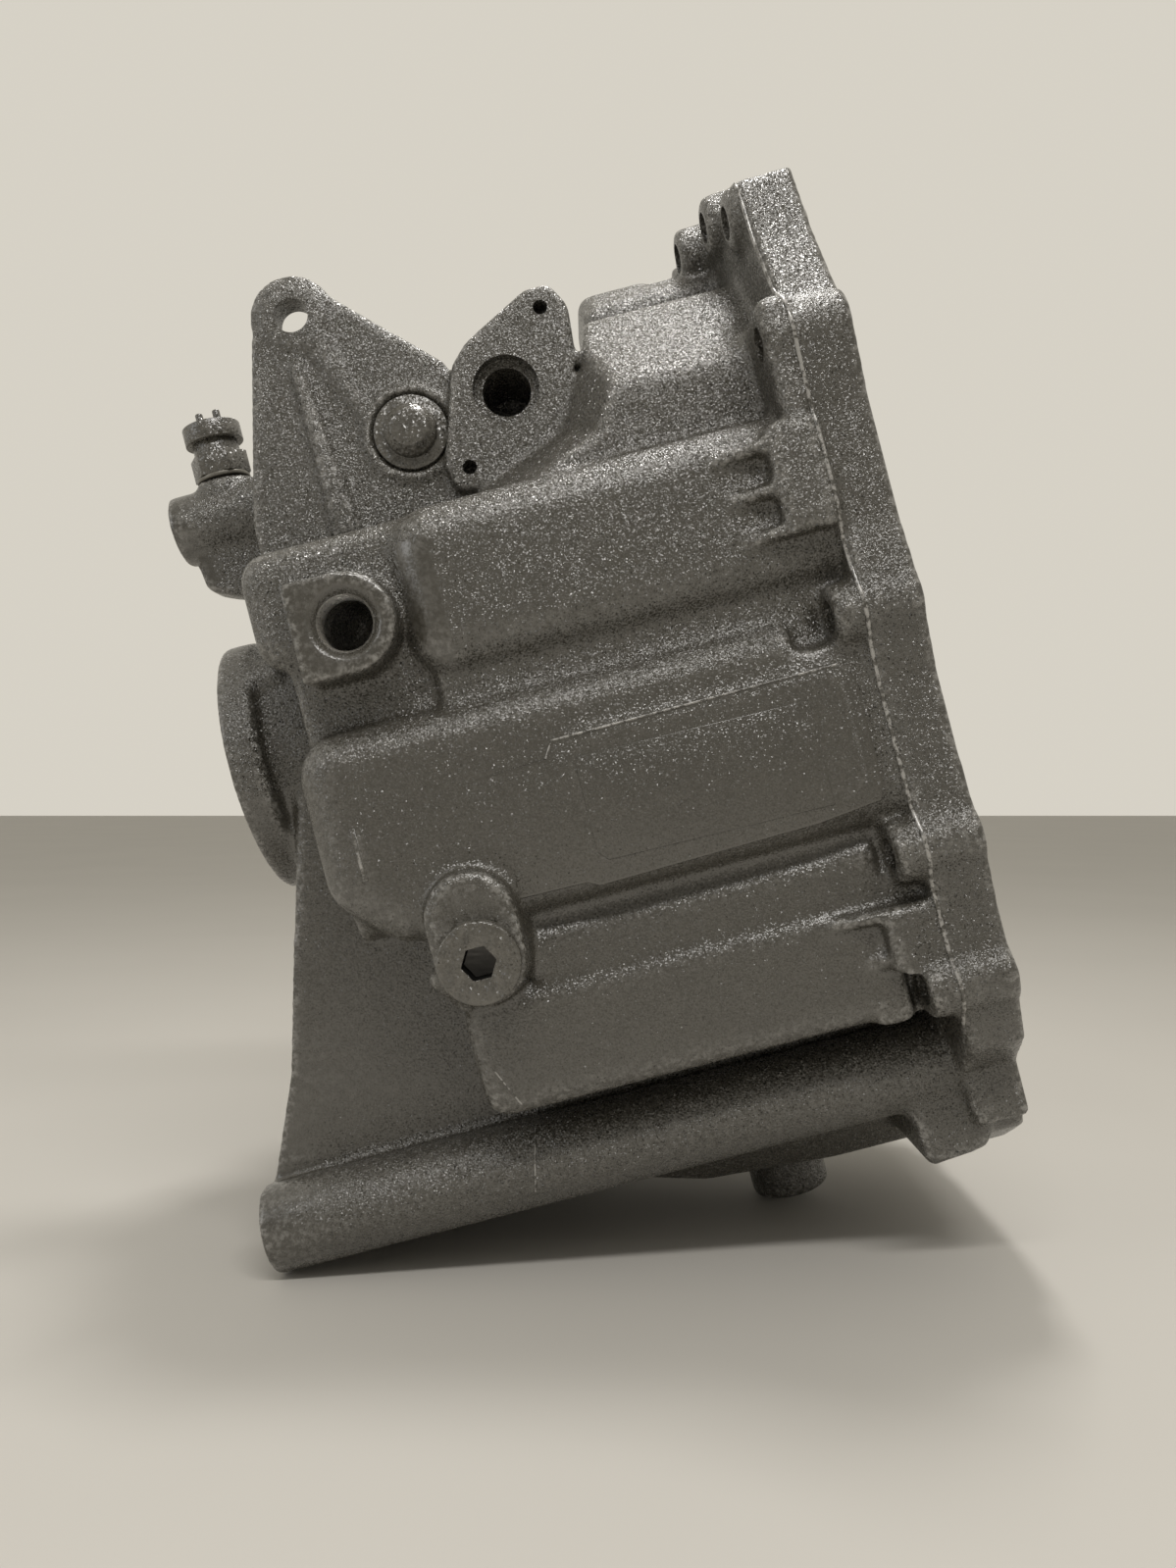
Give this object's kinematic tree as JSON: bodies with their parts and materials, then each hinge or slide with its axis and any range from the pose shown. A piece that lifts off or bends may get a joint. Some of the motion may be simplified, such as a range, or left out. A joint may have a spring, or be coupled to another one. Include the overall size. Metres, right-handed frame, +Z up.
{
  "type": "gearbox housing",
  "caption": "Cast rear housing of a longitudinal manual gearbox, with joint flange, output shaft and bearing, selector rail, plugs and reversing light switch.",
  "frame": {"origin": "middle of the part's box in plan, on the surface it stands on", "axes": "+Z up as it rests, -Y toward the side with the fill plug, +X toward the joint face, whose normal rises 14.5 degrees above +X"},
  "size_m": [0.3256, 0.208, 0.4045],
  "materials": {
    "cast_paint": "satin",
    "steel": "satin",
    "dark_steel": "satin",
    "seal_rubber": "matte",
    "plastic": "matte",
    "pin_brass": "satin",
    "soft_metal": "satin"
  },
  "bodies": {
    "case": {"housing": "cast_paint", "fill_plug": "cast_paint", "fill_plug_washer": "soft_metal", "drain_plug": "cast_paint", "drain_plug_washer": "soft_metal", "detent_cap": "cast_paint", "detent_spring": "steel", "rail_end_plug": "dark_steel", "switch_body": "dark_steel", "switch_washer": "soft_metal", "switch_connector": "plastic", "switch_pins": "pin_brass", "bearing_outer_ring": "steel", "bearing_retaining_ring": "dark_steel", "output_seal": "seal_rubber", "countershaft_ring": "steel", "dowel_upper": "steel", "dowel_lower": "steel"},
    "output": {"output_shaft": "steel", "speedometer_gear": "steel", "gear_retaining_ring": "dark_steel", "bearing_inner_ring": "steel"},
    "roller_set": {"bearing_rollers": "steel", "bearing_cage": "pin_brass"},
    "selector": {"selector_rail": "steel", "selector_finger": "dark_steel", "finger_pin": "steel"},
    "detent": {"detent_plunger": "steel"},
    "switch_button": {"switch_plunger": "steel"}
  },
  "joints": [
    {"name": "output_spin", "type": "hinge", "parent": "case", "child": "output", "pos_m": [-0.09539, -0.001, 0.18804], "axis": [0.9681, 0, 0.2504], "continuous": true},
    {"name": "roller_set_spin", "type": "hinge", "parent": "case", "child": "roller_set", "pos_m": [-0.09539, -0.001, 0.18804], "axis": [0.9681, 0, 0.2504], "continuous": true},
    {"name": "selector_slide", "type": "slide", "parent": "case", "child": "selector", "axis": [0.9681, 0, 0.2504], "range_m": [-0.009, 0.009]},
    {"name": "detent_slide", "type": "slide", "parent": "case", "child": "detent", "axis": [0, -1, 0], "range_m": [0, 0.0015], "stiffness_N_per_m": 2000, "springref_m": -0.003, "deforming": ["detent_spring"]},
    {"name": "switch_slide", "type": "slide", "parent": "case", "child": "switch_button", "axis": [-0.2504, 0, 0.9681], "range_m": [0, 0.0015], "stiffness_N_per_m": 1500, "springref_m": -0.002}
  ],
  "couplings": [
    {"joint": "roller_set_spin", "follows": "output_spin", "ratio": 0.4206}
  ]
}
